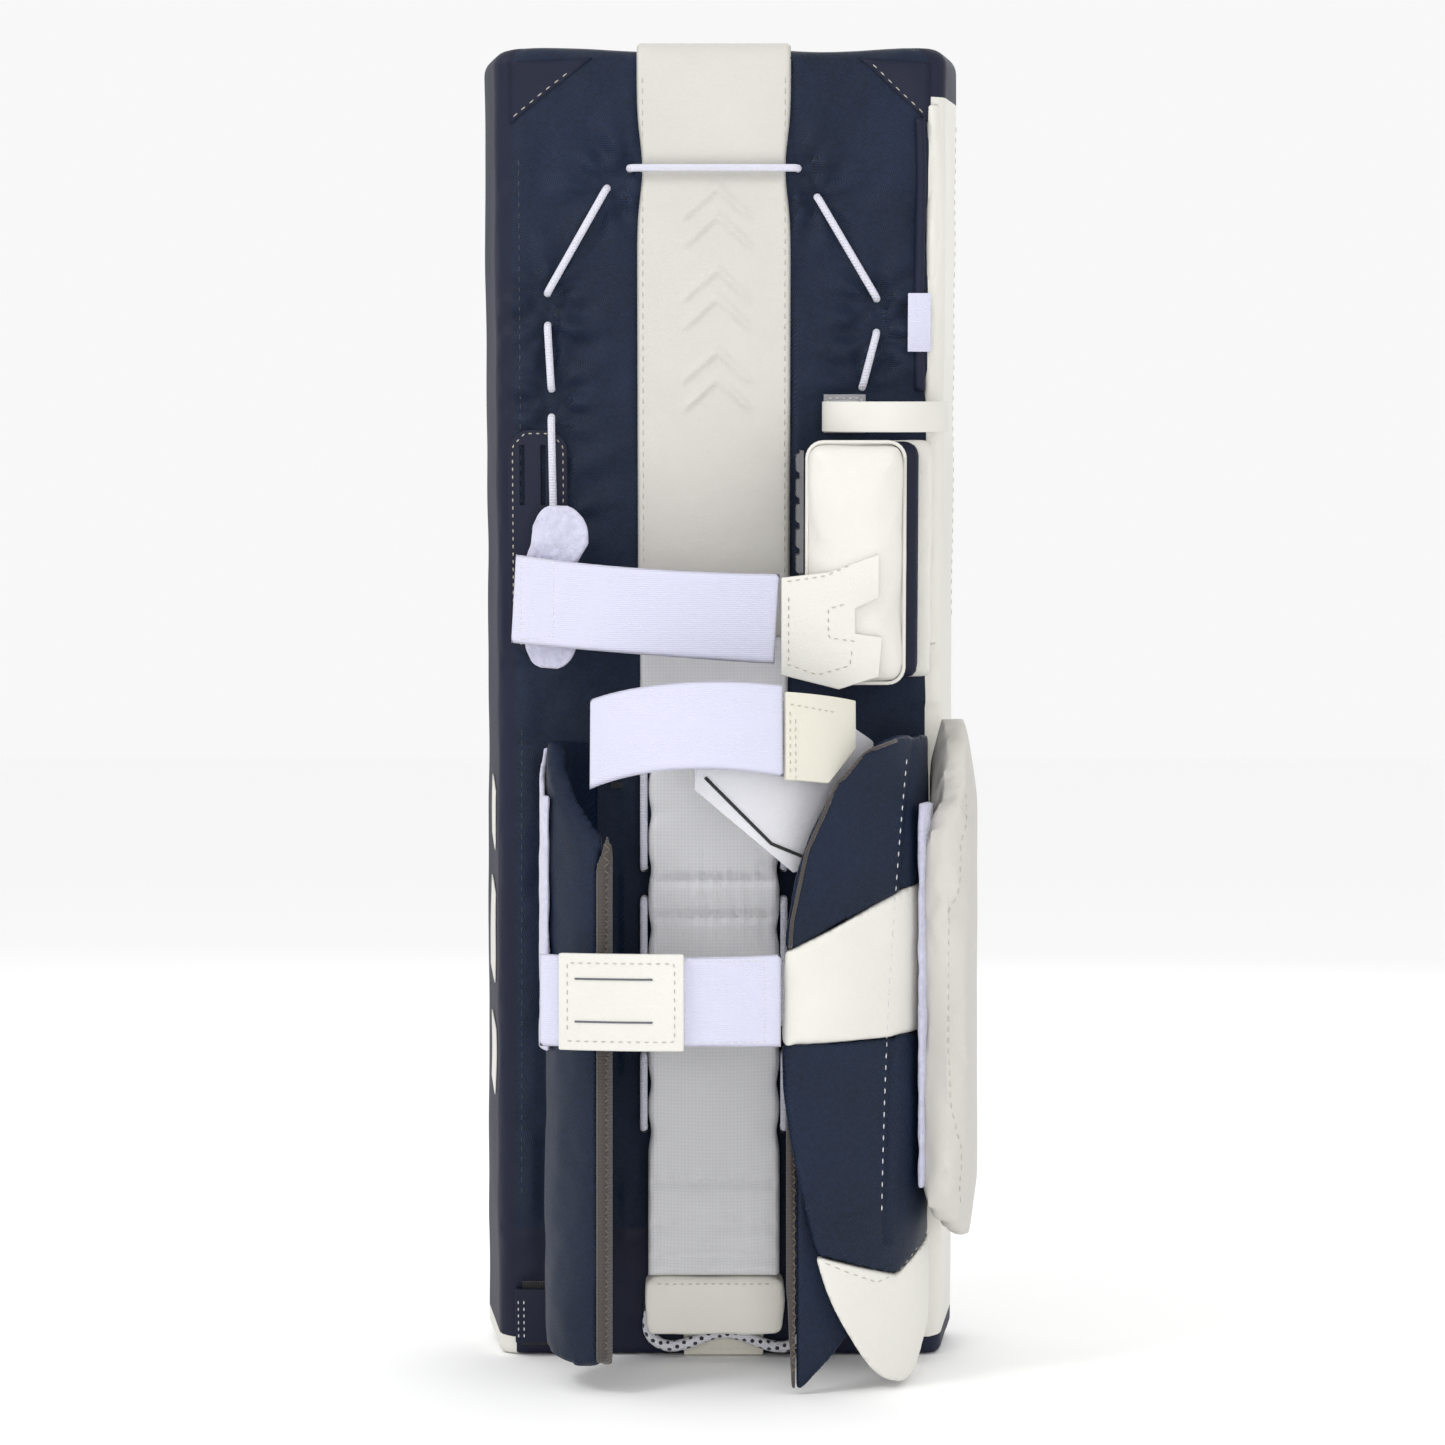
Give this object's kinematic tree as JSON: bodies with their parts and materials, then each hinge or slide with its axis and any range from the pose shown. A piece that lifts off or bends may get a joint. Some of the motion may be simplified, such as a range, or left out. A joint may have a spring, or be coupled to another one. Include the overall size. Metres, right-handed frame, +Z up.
{
  "type": "ice hockey goalie leg pad",
  "caption": "Goalie leg pad seen from its strap side: foam board bending at ankle and knee, padded wings, calf wedge, knee block, elastic straps and toe bungee.",
  "frame": {"origin": "middle of the flat sole edge of the boot", "axes": "+Z up the leg, +X to the inner side as the wearer's calf sees it, +Y out of the front face; the leg lies on the -Y side"},
  "size_m": [0.2781, 0.2295, 0.753],
  "materials": {
    "navy_nylon": "ballistic nylon, fine twill, slight sheen",
    "navy_leather": "smooth synthetic leather, satin",
    "white_leather": "smooth synthetic leather, satin",
    "cream_leather": "smooth synthetic leather, satin, embossed",
    "white_elastic": "ribbed elastic webbing",
    "loop_fabric": "napped loop fabric",
    "hook_tape": "hook tape",
    "white_cord": "braided cord",
    "grey_knit": "brushed knit, soft",
    "grey_elastic": "elastic cord",
    "binding_tape": "folded binding tape",
    "core_foam": "closed-cell foam",
    "stiffener_sheet": "polyethylene sheet",
    "dark_rubber": "semi-gloss moulded rubber",
    "smoke_film": "clear smoke film",
    "black_webbing": "narrow webbing"
  },
  "bodies": {
    "shin": {"shin_face_cover": "white_leather", "shin_back_cover": "navy_nylon", "shin_foam_front": "core_foam", "shin_foam_back": "core_foam", "shin_stiffener": "stiffener_sheet", "shin_outer_roll": "navy_leather", "cradle_liner": "grey_knit", "cradle_foam": "core_foam", "shin_lacing": "white_cord", "cradle_elastics": "grey_elastic", "calf_tongue": "white_leather"},
    "thigh": {"thigh_face_cover": "white_leather", "thigh_back_cover": "navy_nylon", "thigh_foam_front": "core_foam", "thigh_foam_back": "core_foam", "thigh_stiffener": "stiffener_sheet", "knee_rolls": "white_leather", "thigh_outer_roll": "navy_leather", "thigh_center_panel": "cream_leather", "thigh_lacing": "white_cord", "anchor_patch": "navy_leather", "anchor_loop_flap": "loop_fabric", "block_suspension_band": "white_elastic", "block_anchor_patch": "smoke_film", "thigh_edge_piping": "white_leather", "edge_tab": "white_elastic"},
    "boot": {"boot_face_cover": "white_leather", "boot_back_cover": "navy_leather", "boot_foam": "core_foam", "boot_outer_roll": "navy_leather", "cradle_tail": "grey_knit", "boot_pad": "cream_leather", "toe_tab": "cream_leather", "toe_lace": "white_cord", "toe_eyelets": "dark_rubber", "boot_keeper": "navy_leather", "boot_keeper_webbing": "black_webbing"},
    "knee_block": {"knee_block_cover": "white_leather", "knee_block_foam": "core_foam", "knee_block_layer": "navy_leather", "knee_block_base": "white_leather", "knee_block_rim": "dark_rubber", "knee_strap_tab": "cream_leather"},
    "knee_strap": {"knee_strap_elastic": "white_elastic", "knee_strap_hook": "hook_tape"},
    "outer_wing": {"outer_wing_panel": "navy_nylon", "outer_wing_binding": "binding_tape", "outer_wing_loop": "loop_fabric"},
    "upper_strap": {"upper_strap_elastic": "white_elastic", "upper_strap_tab": "cream_leather"},
    "inner_wing": {"inner_wing_panels": "navy_nylon", "inner_wing_band": "white_leather", "inner_wing_guard": "white_leather", "inner_wing_liner": "navy_nylon", "inner_wing_binding": "binding_tape"},
    "calf_strap": {"calf_strap_band": "white_elastic", "calf_strap_badge": "cream_leather"},
    "calf_wedge": {"calf_wedge_cover": "white_leather", "calf_wedge_foam": "core_foam", "calf_wedge_loop": "loop_fabric"}
  },
  "joints": [
    {"name": "thigh_flex", "type": "hinge", "parent": "shin", "child": "thigh", "pos_m": [0, -0.01299, 0.395], "axis": [1, 0, 0], "range_deg": [-15, 2], "stiffness_Nm_per_rad": 60},
    {"name": "boot_flex", "type": "hinge", "parent": "shin", "child": "boot", "pos_m": [0, -0.01299, 0.082], "axis": [1, 0, 0], "range_deg": [-8, 12], "stiffness_Nm_per_rad": 40},
    {"name": "knee_block_fold", "type": "hinge", "parent": "thigh", "child": "knee_block", "pos_m": [0.124, -0.06302, 0.45963], "axis": [0, -0.1045, 0.9945], "range_deg": [0, 60], "stiffness_Nm_per_rad": 2},
    {"name": "knee_strap_open", "type": "hinge", "parent": "knee_block", "child": "knee_strap", "pos_m": [0.033, -0.11941, 0.42504], "axis": [0, -0.1045, 0.9945], "range_deg": [0, 90]},
    {"name": "outer_wing_fold", "type": "hinge", "parent": "shin", "child": "outer_wing", "pos_m": [-0.074, -0.05649, 0.18], "axis": [0, 0, 1], "range_deg": [-40, 0], "stiffness_Nm_per_rad": 2},
    {"name": "upper_strap_open", "type": "hinge", "parent": "outer_wing", "child": "upper_strap", "pos_m": [-0.0705, -0.12912, 0.354], "axis": [0, 0, 1], "range_deg": [-110, 0]},
    {"name": "inner_wing_fold", "type": "hinge", "parent": "shin", "child": "inner_wing", "pos_m": [0.111, -0.05749, 0.18], "axis": [0, 0, 1], "range_deg": [0, 40], "stiffness_Nm_per_rad": 2},
    {"name": "calf_wedge_fold", "type": "hinge", "parent": "shin", "child": "calf_wedge", "pos_m": [0.124, -0.05249, 0.223], "axis": [0, 0, 1], "range_deg": [0, 40], "stiffness_Nm_per_rad": 1},
    {"name": "calf_strap_open", "type": "hinge", "parent": "inner_wing", "child": "calf_strap", "pos_m": [0.0325, -0.16249, 0.216], "axis": [0, 0, 1], "range_deg": [0, 110]}
  ],
  "couplings": [
    {"joint": "calf_wedge_fold", "follows": "inner_wing_fold", "ratio": 1}
  ]
}
